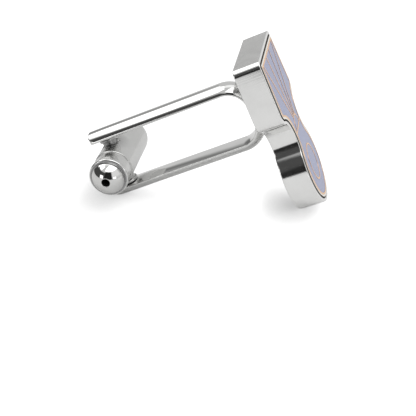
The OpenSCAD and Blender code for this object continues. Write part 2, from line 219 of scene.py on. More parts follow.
SAME_PLACE = 2e-7  # points this near to each other are merged
NO_LENGTH = 1e-7  # an edge shorter than this is taken out
SMOOTH_UP_TO = 35  # degrees between two faces that still shade as one
FACING = 0.95  # how far a normal points one way for its face to count as facing that way
WEAR_POWER = 1.6  # how steeply the bar's flat is worn down towards its edges

# How many points or steps the surfaces have, round a turned piece and along each line and arc.
ROUND = {"toggle": 96, "seat": 72, "bushing": 64, "hole": 48}
OUTLINE = {"lobe": 65, "hollow": 37, "shoulder": 21, "corner": 17}
SECTION = {"flat": 33, "edge": 6, "crown": 57}
BOW = {"corner": 15, "cut": 3, "taper": 9, "arm": 12, "bend": 33, "base": 5}
PROFILE = {"dome": 41, "wall": 24, "bead": 25, "fillet": 9, "edge": 5}


def placed(points):
    """Leans points over about the pin and moves them to it:
    [x cos a - z sin a, y, x sin a + z cos a] plus the pin's middle, with a the lean."""
    c, s = math.cos(LEAN), math.sin(LEAN)
    turn = np.array([[c, 0, -s], [0, 1, 0], [s, 0, c]])
    return points @ turn.T + PIVOT


def grid_faces(rows, columns):
    """Four corners of each face of a grid of points that closes on itself along its columns:
    (i, j), (i, j+1), (i+1, j+1), (i+1, j), with j+1 taken round."""
    i, j = np.meshgrid(np.arange(rows - 1), np.arange(columns), indexing="ij")
    k = (j + 1) % columns
    corners = np.stack([i * columns + j, i * columns + k, (i + 1) * columns + k,
                        (i + 1) * columns + j], axis=-1)
    return corners.reshape(-1, 4)


def link_to_scene(name, data):
    """A new object in the scene."""
    made = bpy.data.objects.new(name, data)
    bpy.context.scene.collection.objects.link(made)
    return made


def shell(name, rings, materials, pick=None):
    """A closed piece from rings of points, rows by columns by three, each ring joined to the next.
    The first and last ring are filled, unless they are one and the same, as round a hole. Points
    in one place are merged, which closes the poles.
    pick gives each face's material from its centre and normal, both before placing."""
    rows, columns = rings.shape[:2]
    points = rings.reshape(-1, 3)
    quads = grid_faces(rows, columns)
    a, b, c, d = (points[quads[:, n]] for n in range(4))
    volume = np.einsum("ij,ij->", a, np.cross(b, c) + np.cross(c, d))
    ends = [np.arange(columns)[::-1], (rows - 1) * columns + np.arange(columns)]
    if np.allclose(rings[0], rings[-1], atol=NO_LENGTH):
        ends = []
    for end in ends:
        p = points[end]
        middle = p.mean(axis=0)
        volume += np.einsum("j,ij->", middle, np.cross(p, np.roll(p, -1, axis=0)))
    if volume < 0:  # inside out
        quads, ends = quads[:, ::-1], [end[::-1] for end in ends]
    loops = np.concatenate([quads.ravel(), *ends]).astype(np.int32)
    starts = np.concatenate([4 * np.arange(len(quads)),
                             4 * len(quads) + np.arange(len(ends)) * columns]).astype(np.int32)
    mesh = bpy.data.meshes.new(name)
    mesh.vertices.add(len(points))
    mesh.vertices.foreach_set("co", points.astype(np.float32).ravel())
    mesh.loops.add(len(loops))
    mesh.loops.foreach_set("vertex_index", loops)
    mesh.polygons.add(len(starts))
    mesh.polygons.foreach_set("loop_start", starts)
    mesh.update(calc_edges=True)
    work = bmesh.new()
    work.from_mesh(mesh)
    bmesh.ops.remove_doubles(work, verts=work.verts, dist=SAME_PLACE)
    bmesh.ops.dissolve_degenerate(work, edges=work.edges, dist=NO_LENGTH)
    work.to_mesh(mesh)
    work.free()
    for material in materials:
        mesh.materials.append(material)
    if pick is not None:
        count = len(mesh.polygons)
        centre, normal = np.zeros(3 * count, np.float32), np.zeros(3 * count, np.float32)
        mesh.polygons.foreach_get("center", centre)
        mesh.polygons.foreach_get("normal", normal)
        index = pick(centre.reshape(-1, 3), normal.reshape(-1, 3)).astype(np.int32)
        mesh.polygons.foreach_set("material_index", index)
    points = np.zeros(3 * len(mesh.vertices), np.float32)
    mesh.vertices.foreach_get("co", points)
    mesh.vertices.foreach_set("co", placed(points.reshape(-1, 3).astype(float))
                              .astype(np.float32).ravel())
    mesh.update()
    mesh.shade_smooth()
    mesh.set_sharp_from_angle(angle=math.radians(SMOOTH_UP_TO))
    return link_to_scene(name, mesh)


def arc(centre, radius, start, end, steps):
    """Points on a circle: centre + radius [cos a, sin a], a from start to end in degrees."""
    a = np.radians(np.linspace(start, end, steps))
    return np.stack([centre[0] + radius * np.cos(a), centre[1] + radius * np.sin(a)], axis=-1)


def line(start, end, steps):
    """Points from start up to, and without, end, evenly spaced."""
    t = np.linspace(0, 1, steps, endpoint=False)[:, None]
    return (1 - t) * np.array(start, float) + t * np.array(end, float)


def lathe(profile, steps, axis="y"):
    """Turns a profile of [way, radius] about an axis: along y with positive ways towards the ball,
    [r cos t, -way, r sin t], or along z, the pin, [r cos t, r sin t, way]."""
    t = np.linspace(0, 2 * math.pi, steps, endpoint=False)
    way, r = profile[:, :1], profile[:, 1:]
    along = np.repeat(way, steps, axis=1)
    across, up = r * np.cos(t), r * np.sin(t)
    if axis == "y":
        return np.stack([across, -along, up], axis=-1)
    return np.stack([across, up, along], axis=-1)


def head_outline(inset):
    """Closed outline of the head as [width, height], moved in by an inset: for the right half, the
    lobe's arc up to the hollow, the hollow's arc, the shoulder's arc, the leaning side and the top
    corner's arc, each tangent to the next, and then the same mirrored. However far it is moved in,
    the top corner keeps a quarter of its radius."""
    h = head_sizes()
    lobe_r, lobe_z = h.lobe / 2, -h.lobe_drop
    hollow_y = h.waist / 2 + h.hollow
    hollow_z = lobe_z + math.sqrt((lobe_r + h.hollow) ** 2 - hollow_y ** 2)
    shoulder_y = h.width / 2 - h.shoulder
    shoulder_z = hollow_z + math.sqrt((h.shoulder + h.hollow) ** 2 - (hollow_y - shoulder_y) ** 2)
    lean = h.side_lean
    side = shoulder_y * math.cos(lean) + shoulder_z * math.sin(lean) + h.shoulder
    r = max(h.corner - inset, h.corner / 4)
    top = h.rise - inset
    corner_z = top - r
    corner_y = (side - inset - r - corner_z * math.sin(lean)) / math.cos(lean)
    to_hollow = math.degrees(math.atan2(hollow_z - lobe_z, hollow_y))
    to_shoulder = math.degrees(math.atan2(hollow_z - shoulder_z, hollow_y - shoulder_y))
    lean = math.degrees(lean)
    right = np.concatenate([
        arc((0, lobe_z), lobe_r - inset, -90, to_hollow, OUTLINE["lobe"])[:-1],
        arc((hollow_y, hollow_z), h.hollow + inset, 180 + to_hollow, 180 + to_shoulder,
            OUTLINE["hollow"])[:-1],
        arc((shoulder_y, shoulder_z), h.shoulder - inset, to_shoulder, lean, OUTLINE["shoulder"]),
        arc((corner_y, corner_z), r, lean, 90, OUTLINE["corner"]),
    ])
    left = right[::-1] * np.array([-1, 1])
    return np.concatenate([right, left[:-1]])


def rounding(radius):
    """Way in and way along of a quarter round edge: radius (1 - sin a), radius (1 - cos a)."""
    a = np.linspace(0, math.pi / 2, PROFILE["edge"])
    return radius * (1 - np.sin(a)), radius * (1 - np.cos(a))


def head_rings():
    """The head's shell as rings of its outline at [depth, inset]: the back, its rounded edge, the
    wall, the rim with both edges rounded, the pocket's wall and its floor."""
    h = head_sizes()
    inward, along = rounding(h.back_edge)
    steps = [np.stack([along, inward], axis=-1)]
    inward, along = rounding(h.front_edge)
    steps.append(np.stack([h.thickness - inward, along], axis=-1))
    inward, along = rounding(h.pocket_edge)
    steps.append(np.stack([h.thickness - along, h.rim - inward], axis=-1))
    floor = h.thickness - h.pocket
    support = 0.02 * MM  # from each rounding to the ring that holds the flat face beside it
    steps = np.concatenate([
        [[0, h.back_edge + 2 * support], [0, h.back_edge + support / 2]], steps[0],
        [[h.back_edge + support, 0], [h.thickness - h.front_edge - support, 0]], steps[1],
        [[h.thickness, h.front_edge + support]], steps[2],
        [[floor, h.rim], [floor, h.rim + support]],
    ])
    rings = []
    for depth, inset in steps:
        outline = head_outline(inset)
        x = np.full((len(outline), 1), frame_sizes().reach + depth)
        rings.append(np.concatenate([x, outline], axis=1))
    return np.stack(rings)


def bar_section():
    """The bar's section as [across, out], anticlockwise: the flat with two rounded edges, the
    straight edges, and the crown, an arc through both edges and the full height. Polishing has
    worn the flat towards its edges: it lies worn (|across| / half)^1.6 further out, which fades
    out up the straight edges."""
    f = frame_sizes()
    half, r = f.bar_width / 2, f.bar_round
    sag = f.bar_height - f.bar_edge
    crown = (half ** 2 + sag ** 2) / (2 * sag)
    # The corner between edge and crown is softened by what each stops short of it.
    short, short_degrees = 0.04 * MM, 0.8
    reach = math.degrees(math.asin(half / crown)) - short_degrees
    section = np.concatenate([
        line((-half + r, 0), (half - r, 0), SECTION["flat"]),
        arc((half - r, r), r, -90, 0, SECTION["edge"]),
        [(half, f.bar_edge - short)],
        arc((0, f.bar_height - crown), crown, 90 - reach, 90 + reach, SECTION["crown"]),
        [(-half, f.bar_edge - short)],
        arc((-half + r, r), r, 180, 270, SECTION["edge"])[:-1],
    ])
    across, out = section[:, 0], section[:, 1]
    worn = f.flat_worn * (abs(across) / half) ** WEAR_POWER
    return np.stack([across, out + worn * np.maximum(1 - out / f.bar_edge, 0)], axis=-1)


def bow_rings():
    """The bar's section carried along the bow: upper arm, bend, base, bend and lower arm, with its
    flat on the inside. Near a tip, at a distance d from its end, the section is cut to a half width
    w/2 - r + sqrt(r^2 - (r - d)^2). It is cut to a height that falls in a straight slant to the
    tip, to the full depth on the lower arm, and that ends in a rounded edge, lower by
    e - sqrt(e^2 - (e - d)^2). The crown falls off by a share of (1 - d / taper)^2."""
    f = frame_sizes()
    half_gap = f.gap / 2
    bend_x, bend_z = f.reach - f.bar_height - f.bend, half_gap - f.bend
    arm = bend_x + f.overhang
    d = np.concatenate([
        f.tip_corner * (1 - np.cos(np.linspace(0, math.pi / 2, BOW["corner"]))),
        np.linspace(f.tip_corner, f.tip_cut, BOW["cut"])[1:],
        np.linspace(f.tip_cut, f.taper, BOW["taper"])[1:],
        np.linspace(f.taper, arm, BOW["arm"])[1:]])
    a = np.radians(np.linspace(90, 0, BOW["bend"]))[1:]
    base = np.linspace(bend_z, 0, BOW["base"])[1:]
    x = np.concatenate([d - f.overhang, bend_x + f.bend * np.cos(a),
                        np.full(len(base), bend_x + f.bend)])
    z = np.concatenate([np.full(len(d), half_gap), bend_z + f.bend * np.sin(a), base])
    out_x = np.concatenate([np.zeros(len(d)), np.cos(a), np.ones(len(base))])
    out_z = np.concatenate([np.ones(len(d)), np.sin(a), np.zeros(len(base))])
    from_tip = np.concatenate([d, np.full(len(a) + len(base), arm)])
    x, z = np.concatenate([x, x[-2::-1]]), np.concatenate([z, -z[-2::-1]])
    out_x, out_z = np.concatenate([out_x, out_x[-2::-1]]), np.concatenate([out_z, -out_z[-2::-1]])
    from_tip = np.concatenate([from_tip, from_tip[-2::-1]])
    r = f.tip_corner
    half = f.bar_width / 2 - r + np.sqrt(np.maximum(r ** 2 - np.maximum(r - from_tip, 0) ** 2, 0))
    tip_drop = f.tip_cut * math.tan(LEAN) * np.where(z > 0, f.upper_cut, 1)
    e = f.tip_round
    height = (f.bar_height - tip_drop * np.maximum(1 - from_tip / f.tip_cut, 0)
              - e + np.sqrt(np.maximum(e ** 2 - np.maximum(e - from_tip, 0) ** 2, 0)))
    fall = f.taper_drop * np.maximum(1 - from_tip / f.taper, 0) ** 2
    section = bar_section()
    across = np.clip(section[None, :, 0], -half[:, None], half[:, None])
    out = np.minimum(section[None, :, 1] * (1 - fall / f.bar_height)[:, None], height[:, None])
    return np.stack([x[:, None] + out_x[:, None] * out, across,
                     z[:, None] + out_z[:, None] * out], axis=-1)


def solder_rings():
    """The solder as rings of a rounded rectangle, moved in by t times the run of the fillet at a
    height h (1 - sqrt(1 - t^2)), so that it leaves the head flat and meets the bar steeply. Its
    first ring is sunk into the head."""
    f = frame_sizes()
    half_y, half_z = f.bar_width / 2 + f.solder_width, f.solder_reach
    run, corner, sunk = 0.62 * MM, 0.8 * MM, 0.05 * MM
    rings = []
    steps = PROFILE["fillet"]
    for t in np.concatenate([[0], np.sin(np.linspace(0, math.pi / 2, steps))]):
        height = f.solder_height * (1 - math.sqrt(1 - t * t))
        a, b, r = half_y - t * run, half_z - t * run, corner - t * run
        edge = np.concatenate([
            arc((a - r, b - r), r, 0, 90, steps), arc((r - a, b - r), r, 90, 180, steps),
            arc((r - a, r - b), r, 180, 270, steps), arc((a - r, r - b), r, 270, 360, steps)])
        x = np.full((len(edge), 1), f.reach - height)
        rings.append(np.concatenate([x, edge], axis=1))
    rings[0][:, 0] += sunk
    return np.stack(rings)


def bushing_profile(side):
    """A bushing's section, [height along the pin, radius]: sleeve, flange with rounded edges and
    the hole, from its inner to its outer end."""
    t = toggle_sizes()
    hole, sleeve, flange, r = t.pin_hole / 2, t.sleeve / 2, t.flange / 2, 0.07 * MM
    start, end = t.bushing_from, t.bushing_to
    step = end - t.flange_height
    loop = np.concatenate([
        [(start, hole), (start, sleeve), (step - r, sleeve), (step, sleeve + r)],
        arc((step + r, flange - r), r, 180, 90, PROFILE["edge"]),
        arc((end - r, flange - r), r, 90, 0, PROFILE["edge"]),
        [(end, hole), (start, hole)],
    ])
    return loop * (side, 1)


def core_profile():
    """The turned core's section, [way, radius]: spigot, collar with its bead, and then back inside
    along the seat of the cap and the bore of the plunger."""
    t = toggle_sizes()
    collar, bead = t.collar / 2, t.rim_bead
    rim_at, rim_r = t.collar_to - bead, t.barrel / 2 - bead
    lift = math.degrees(math.asin((collar - rim_r) / bead))
    soft, seat = 0.06 * MM, t.cap_spigot / 2
    return np.concatenate([
        [(-t.spigot, 0), (-t.spigot, t.bore / 2), (t.front_at, t.bore / 2),
         (t.front_at, collar - soft)],
        arc((t.front_at + soft, collar - soft), soft, 180, 90, PROFILE["edge"])[1:],
        arc((rim_at, rim_r), bead, 180 - lift, 0, PROFILE["bead"]),
        [(t.collar_to, seat), (t.cap_seat, seat), (t.cap_seat, t.chamber / 2),
         (t.pin_hole / 2, t.chamber / 2), (t.pin_hole / 2, 0)],
    ])


def barrel_profile():
    """The barrel's section, [way, radius]: dome, wall, the rounded open end and the bore."""
    t = toggle_sizes()
    r, soft, bore = t.barrel / 2, t.front_edge, t.bore / 2
    support = 0.02 * MM
    return np.concatenate([
        arc((-t.dome_at, 0), r, 180, 90, PROFILE["dome"]),
        line((-t.dome_at, r), (t.front_at - soft, r), PROFILE["wall"])[1:],
        arc((t.front_at - soft, r - soft), soft, 90, 0, PROFILE["fillet"]),
        [(t.front_at, r - soft - support), (t.front_at, bore), (-t.dome_at, bore),
         (-t.dome_at, 0)],
    ])


def seat_cutter_profile(side):
    """What a bushing's seat takes out of the barrel, [height along the pin, radius]: a floor, a
    wall, and an edge that opens out, a little and then more, up to the barrel's side."""
    t = toggle_sizes()
    r, soft, top = t.seat / 2, t.seat_edge, t.barrel / 2
    return np.array([(t.seat_at, 0), (t.seat_at, r), (top - 2 * soft, r),
                     (top - soft, r + 0.3 * soft), (top + soft, r + 2 * soft),
                     (top + soft, 0)]) * (side, 1)


def cut(piece, cutters):
    """Takes the cutters out of a piece with exact Booleans, and removes the cutters."""
    for cutter in cutters:
        cutting = piece.modifiers.new("cut", "BOOLEAN")
        cutting.operation, cutting.solver, cutting.object = "DIFFERENCE", "EXACT", cutter
        bpy.context.view_layer.update()
        seen = piece.evaluated_get(bpy.context.evaluated_depsgraph_get())
        mesh = bpy.data.meshes.new_from_object(seen)
        piece.modifiers.clear()
        old, piece.data = piece.data, mesh
        bpy.data.meshes.remove(old)
        old = cutter.data
        bpy.data.objects.remove(cutter)
        bpy.data.meshes.remove(old)
    piece.data.name = piece.name


def cap_profile():
    """The ball cap's section, [way, radius], as a closed loop: a low step on the collar, with its
    top in by 0.4 of its height, a sphere's arc up to the hole, the hole's rounded edge, its wall,
    and the spigot."""
    t = toggle_sizes()
    sphere = ((t.cap / 2) ** 2 + t.cap_height ** 2) / (2 * t.cap_height)
    centre = t.collar_to + t.cap_height - sphere
    hole, soft, seat = t.cap_hole / 2, 0.09 * MM, t.cap_spigot / 2
    start = math.degrees(math.asin(t.ball / 2 / sphere))
    foot = t.collar_to + t.ball_step
    end = math.degrees(math.asin((hole + soft) / (sphere - soft)))
    edge = centre + (sphere - soft) * math.cos(math.radians(end))
    return np.concatenate([
        [(t.collar_to, seat), (t.collar_to, t.cap / 2), (foot, t.cap / 2 - 0.4 * t.ball_step),
         (foot, t.ball / 2 - t.ball_step), (foot + t.ball_step, t.ball / 2 - t.ball_step)],
        arc((centre, 0), sphere, start, end, PROFILE["dome"]),
        arc((edge, hole + soft), soft, end, -90, PROFILE["fillet"])[1:],
        [(t.cap_seat, hole), (t.cap_seat, seat), (t.collar_to, seat)],
    ])


# ---- Finishes --------------------------------------------------------------------------------

NOISE_FROM, NOISE_TO = 0.3, 0.7  # a noise lies mostly between these values
BLOTCH_MM = 1.7  # the wide blotches on plated metal
CLOUD_MM, SPECK_MM = 1.3, 0.12  # the marks in enamel
ENAMEL_WAVE_MM = 0.01  # the height of its waves
ENAMEL_IOR = 1.5
# Near-black colour of the painted shade inside the ball cap's hole
HOLE_SHADE = (0.012, 0.012, 0.012)
# For the painted shade round the pin's top, under the arm:
ALONG_TOGGLE = 0.72  # what a way along the toggle counts for in the distance from the pin
BELOW_MIDDLE = 3.0  # what a way below the toggle's middle adds to that distance
# Painted shade on the border's sides:
SIDE_SHADE = 0.2  # what is left of the border's colour on its sides
SIDE_SHADE_MM = -0.02, -0.005  # where that starts and ends, above the border's top


def principled(material):
    """The Principled surface of a material."""
    return next(n for n in material.node_tree.nodes if n.type == "BSDF_PRINCIPLED")


def new_material(name):
    """An empty node material; returns the material, its node tree and its Principled surface."""
    material = bpy.data.materials.new(name)
    material.use_nodes = True
    return material, material.node_tree, principled(material)


def fill(node, **inputs):
    """Gives a node's sockets their links or values. A socket goes by its name, with underscores for
    spaces, or by an underscore and its number."""
    for key, value in inputs.items():
        socket = node.inputs[int(key[1:])] if key[0] == "_" else node.inputs[key.replace("_", " ")]
        if isinstance(value, bpy.types.NodeSocket):
            node.id_data.links.new(value, socket)
        else:
            socket.default_value = value


def add(tree, kind, settings=None, **inputs):
    """Adds a node with its properties, as settings, and its sockets filled, as inputs."""
    node = tree.nodes.new(kind)
    for key, value in (settings or {}).items():
        setattr(node, key, value)
    fill(node, **inputs)
    return node


def calculate(tree, operation, *values):
    """A Math node on numbers or links; returns its output."""
    inputs = {f"_{n}": value for n, value in enumerate(values)}
    return add(tree, "ShaderNodeMath", {"operation": operation}, **inputs).outputs["Value"]


def leaned_place(tree, size_mm=None):
    """The place along X, Y and Z of the leaned part, in metres or, where a size is given, as a
    multiple of it."""
    place = add(tree, "ShaderNodeTexCoord").outputs["Object"]
    mapping = add(tree, "ShaderNodeMapping", {"vector_type": "TEXTURE"}, Vector=place,
                  Location=tuple(PIVOT), Rotation=(0, -LEAN, 0))
    if size_mm is not None:
        fill(mapping, Scale=tuple(np.broadcast_to(size_mm, 3) * MM))
    return mapping.outputs["Vector"]


def grain(tree, size_mm, detail=3.0):
    """A noise whose spots have a size, one for all ways or one each along X, Y and Z of the leaned
    part."""
    noise = add(tree, "ShaderNodeTexNoise", None, Vector=leaned_place(tree, size_mm), Scale=1.0,
                Detail=detail, Roughness=0.6)
    return noise.outputs["Fac"]


def spread(tree, value, low, high, start=NOISE_FROM, end=NOISE_TO):
    """Maps a value between start and end to the range from low to high."""
    node = add(tree, "ShaderNodeMapRange", None, Value=value, _1=start, _2=end, _3=low, _4=high)
    return node.outputs["Result"]


def scaled(tree, rgb, factor):
    """A colour times a factor."""
    node = add(tree, "ShaderNodeVectorMath", {"operation": "SCALE"}, _0=rgb, Scale=factor)
    return node.outputs["Vector"]


def tinted(tree, rgb, noise, depth):
    """A colour that a noise makes up to depth darker."""
    return scaled(tree, tuple(rgb), spread(tree, noise, 1 - depth, 1))


def bumped(tree, height, distance_mm):
    """A normal from a height, whose full range stands for a distance in millimetres."""
    bump = add(tree, "ShaderNodeBump", None, Height=height, Distance=distance_mm * MM, Strength=1.0)
    return bump.outputs["Normal"]


def darkened(material, value, low, start, end):
    """Multiplies a finish's colour by low where a value is under start, and by 1 from end on."""
    tree, surface = material.node_tree, principled(material)
    full = surface.inputs["Base Color"].links[0].from_socket
    factor = spread(tree, value, low, 1, start, end)
    fill(surface, Base_Color=scaled(tree, full, factor))
    return material


def shaded_round_pin(material, low, start_mm, end_mm):
    """Painted shade round the pin's top, under the arm, which keeps the light off: darkens a finish
    by the distance from the pin's axis: the length of [x, share of y], plus a multiple of the way
    below the toggle's middle. The colour is multiplied by low up to the start, and by 1 from the
    end on."""
    tree = material.node_tree
    place = leaned_place(tree)
    flat = add(tree, "ShaderNodeVectorMath", {"operation": "MULTIPLY"}, _0=place,
               _1=(1, ALONG_TOGGLE, 0)).outputs["Vector"]
    away = add(tree, "ShaderNodeVectorMath", {"operation": "LENGTH"}, _0=flat).outputs["Value"]
    up = add(tree, "ShaderNodeSeparateXYZ", None, Vector=place).outputs["Z"]
    below = calculate(tree, "MAXIMUM", calculate(tree, "MULTIPLY", up, -BELOW_MIDDLE), 0.0)
    return darkened(material, calculate(tree, "ADD", away, below), low, start_mm * MM, end_mm * MM)


def dark_sides(material, level):
    """Darkens a finish just below a level along the head's normal, which is given as a distance
    from the pin: painted shade on the sides of the border, as in the shade of its groove."""
    tree = material.node_tree
    depth = add(tree, "ShaderNodeSeparateXYZ", None, Vector=leaned_place(tree)).outputs["X"]
    start, end = (level + way * MM for way in SIDE_SHADE_MM)
    return darkened(material, depth, SIDE_SHADE, start, end)


def plated(name, rgb, rough, marks_mm, ripple_mm, uneven=0.3, depth=0.05):
    """Plated metal. Marks of a size vary its roughness, by an uneven share, and its surface, by a
    ripple, and wide blotches make its colour up to depth darker."""
    material, tree, surface = new_material(name)
    marks, blotch = grain(tree, marks_mm), grain(tree, BLOTCH_MM, detail=2.0)
    fill(surface, Metallic=1, Base_Color=tinted(tree, rgb, blotch, depth),
         Roughness=spread(tree, marks, rough * (1 - uneven), rough * (1 + uneven)),
         Normal=bumped(tree, marks, ripple_mm))
    return material


def enamelled(name, rgb, depth=0.12, rough=0.12):
    """Fired enamel: glossy, faintly mottled, with a slightly wavy surface."""
    material, tree, surface = new_material(name)
    cloud, speck = grain(tree, CLOUD_MM, detail=4.0), grain(tree, SPECK_MM, detail=2.0)
    fill(surface, IOR=ENAMEL_IOR, Base_Color=tinted(tree, rgb, cloud, depth),
         Roughness=spread(tree, speck, rough * 0.7, rough * 1.4),
         Normal=bumped(tree, cloud, ENAMEL_WAVE_MM))
    return material


def dark_hole():
    """Painted shade inside the hole in the ball cap: a near-black colour, as no light gets out of
    it.
    """
    material, tree, surface = new_material("hole_dark")
    speck = grain(tree, size_mm=0.1)
    fill(surface, Base_Color=tinted(tree, HOLE_SHADE, speck, depth=0.4), Roughness=0.6)
    return material


def dress(node, material):
    """Gives a CAD node its finish, in its own material slots."""
    slots = frame["nodes"][node].material_slots
    if not len(slots):
        frame["nodes"][node].data.materials.append(material)
    for slot in slots:
        slot.material = material


def put(piece, body, slot, *replaced):
    """Hangs a finished piece on its body, in place of the CAD nodes that it stands for."""
    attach(piece, body)
    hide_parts(*replaced)


# ---- Studio ----------------------------------------------------------------------------------

# What polished metal sees of the studio: azimuth and half width, lowest and highest elevation,
# softness of the edges, all in degrees, and brightness. Azimuth 0 is behind the cufflink, -90 on
# its left. A later one covers the earlier ones.
STUDIO_BASE = 0.72
STUDIO_CARDS = (
    (0, 92, 64, 95, 10, 1.25),
    (-37, 7, -20, 27, 6, 0.2),
    (-125, 62, -90, 38, 7, 0.07),
    (176, 24, -90, 44, 6, 0.02),
    (122, 28, 12, 50, 12, 0.95),
    (-90, 31, 40, 66, 5, 2.2),
    (-67, 14, 31, 50, 5, 2.2),
    (146, 62, 47, 95, 4, 2.2),
    (-140, 10, 0, 18, 3, 2.2),
    (136, 9, -10, 11, 4, 2.2),
    (-42, 8, 18, 34, 6, 0.42),
)
EVEN_LIGHT = 0.72  # what everything but mirror reflections gets from all sides

# The table: half its side; the ways towards the front between which reflections see it fall off,
# and the painted dark it falls off to; the colour that the camera sees, and the glow on top of it,
# lowered where something is close in the direction of the light, which paints its shadow.
TABLE_HALF = 1.5
TABLE_DARK_FROM, TABLE_DARK_TO = -0.095, -0.15
TABLE_DARK = (0.05, 0.05, 0.05, 1)
TABLE_SEEN = (0.3, 0.3, 0.3, 1)
TABLE_GLOW = 1.03
SHADE = {"towards": (0.84, 0.3, 0.45), "within": 5.5 * MM, "samples": 16}

LAMP = {"energy": 0.18, "size": 0.16, "place": (0.16, 0.02, 0.22)}
CAMERA = {"place": (0.0143068, -0.1000361, 0.0542079), "turn": (60.85903, -0.0799, 8.27379),
          "lens": 75.375, "sensor": 36, "near": 0.005, "far": 5}


def faded(tree, value, start, end, first=1.0, last=0.0):
    """Goes smoothly from first to last while a value goes from start to end."""
    node = add(tree, "ShaderNodeMapRange", {"interpolation_type": "SMOOTHSTEP"}, Value=value,
               _1=start, _2=end, _3=first, _4=last)
    return node.outputs["Result"]


def mixed(tree, factor, first, second):
    """Between two numbers or links, by a factor."""
    mix = add(tree, "ShaderNodeMix", {"data_type": "FLOAT"}, _0=factor, _2=first, _3=second)
    return mix.outputs[0]


def mixed_colour(tree, factor, first, second):
    """Between two colours or links, by a factor."""
    mix = add(tree, "ShaderNodeMix", {"data_type": "RGBA"}, _0=factor, _6=first, _7=second)
    return mix.outputs[2]


def studio_light(tree):
    """Brightness of the studio by direction, from the base and the cards."""
    direction = add(tree, "ShaderNodeTexCoord").outputs["Generated"]
    axes = add(tree, "ShaderNodeSeparateXYZ", None, Vector=direction)
    turn = 180 / math.pi
    azimuth = calculate(tree, "MULTIPLY",
                        calculate(tree, "ARCTAN2", axes.outputs["X"], axes.outputs["Y"]), turn)
    height = calculate(tree, "MULTIPLY", calculate(tree, "ARCSINE", axes.outputs["Z"]), turn)

    def within(way, half, soft):
        return faded(tree, calculate(tree, "ABSOLUTE", way), half - soft / 2, half + soft / 2)

    light = STUDIO_BASE
    for at, half, low, high, soft, bright in STUDIO_CARDS:
        off = calculate(tree, "WRAP", calculate(tree, "SUBTRACT", azimuth, at), 180, -180)
        rise = calculate(tree, "SUBTRACT", height, (low + high) / 2)
        covered = calculate(tree, "MULTIPLY", within(off, half, soft),
                            within(rise, (high - low) / 2, soft))
        light = mixed(tree, covered, light, bright)
    return light


def make_world():
    """White for the camera, the studio for reflections, and an even soft light for the rest."""
    world = bpy.data.worlds.new("studio")
    bpy.context.scene.world = world
    world.use_nodes = True
    tree = world.node_tree
    background = next(n for n in tree.nodes if n.type == "BACKGROUND")
    rays = add(tree, "ShaderNodeLightPath")
    lit = mixed(tree, rays.outputs["Is Glossy Ray"], EVEN_LIGHT, studio_light(tree))
    seen = mixed(tree, rays.outputs["Is Camera Ray"], lit, 1.0)
    fill(background, Color=(1, 1, 1, 1), Strength=seen)


def make_floor():
    """A pale table top. The camera sees it almost white, with a painted soft shadow that deepens
    where something is close to it, and reflections see a painted fall-off into the dark towards the
    front."""
    mesh = bpy.data.meshes.new("table_top")
    h = TABLE_HALF
    mesh.from_pydata([(-h, -h, 0), (h, -h, 0), (h, h, 0), (-h, h, 0)], [], [(0, 1, 2, 3)])
    table = link_to_scene("table_top", mesh)
    material, tree, surface = new_material("table_top")
    rays = add(tree, "ShaderNodeLightPath")
    place = add(tree, "ShaderNodeTexCoord").outputs["Object"]
    way_back = add(tree, "ShaderNodeSeparateXYZ", None, Vector=place).outputs["Y"]
    # Painted fall-off of the light towards the front, seen only in reflections.
    front = calculate(tree, "MULTIPLY", faded(tree, way_back, TABLE_DARK_TO, TABLE_DARK_FROM),
                      rays.outputs["Is Glossy Ray"])
    tone = mixed_colour(tree, front, (*finishes().floor, 1), TABLE_DARK)
    seen = mixed_colour(tree, rays.outputs["Is Camera Ray"], tone, TABLE_SEEN)
    x, y, z = SHADE["towards"]
    towards = add(tree, "ShaderNodeCombineXYZ", None, X=x, Y=y, Z=z).outputs[0]
    # Painted shadow: the camera's glow is lowered by how much is close towards the light.
    shade = add(tree, "ShaderNodeAmbientOcclusion", {"samples": SHADE["samples"]},
                Distance=SHADE["within"], Normal=towards)
    glow = calculate(tree, "MULTIPLY", shade.outputs["AO"], TABLE_GLOW)
    fill(surface, Base_Color=seen, Roughness=1, Specular_IOR_Level=0, Emission_Color=(1, 1, 1, 1),
         Emission_Strength=calculate(tree, "MULTIPLY", rays.outputs["Is Camera Ray"], glow))
    mesh.materials.append(material)


def make_lamp():
    """A large soft lamp high on the right, turned to the cufflink, for its shadow on the table."""
    lamp = bpy.data.lights.new("soft_lamp", "AREA")
    lamp.shape = "SQUARE"
    lamp.size = LAMP["size"]
    lamp.energy = LAMP["energy"]
    holder = link_to_scene("soft_lamp", lamp)
    place = np.array(LAMP["place"])
    holder.location = place
    outwards = place / np.linalg.norm(place)
    holder.rotation_euler = (math.acos(outwards[2]), 0, math.atan2(outwards[0], -outwards[1]))
    holder.visible_glossy = False
    holder.visible_camera = False


def make_camera():
    """The camera, where the photo was taken from."""
    data = bpy.data.cameras.new("camera")
    data.lens, data.sensor_width = CAMERA["lens"], CAMERA["sensor"]
    data.clip_start, data.clip_end = CAMERA["near"], CAMERA["far"]
    camera = link_to_scene("camera", data)
    camera.location = CAMERA["place"]
    camera.rotation_euler = [math.radians(a) for a in CAMERA["turn"]]
    bpy.context.scene.camera = camera


# ---- Operators -------------------------------------------------------------------------------

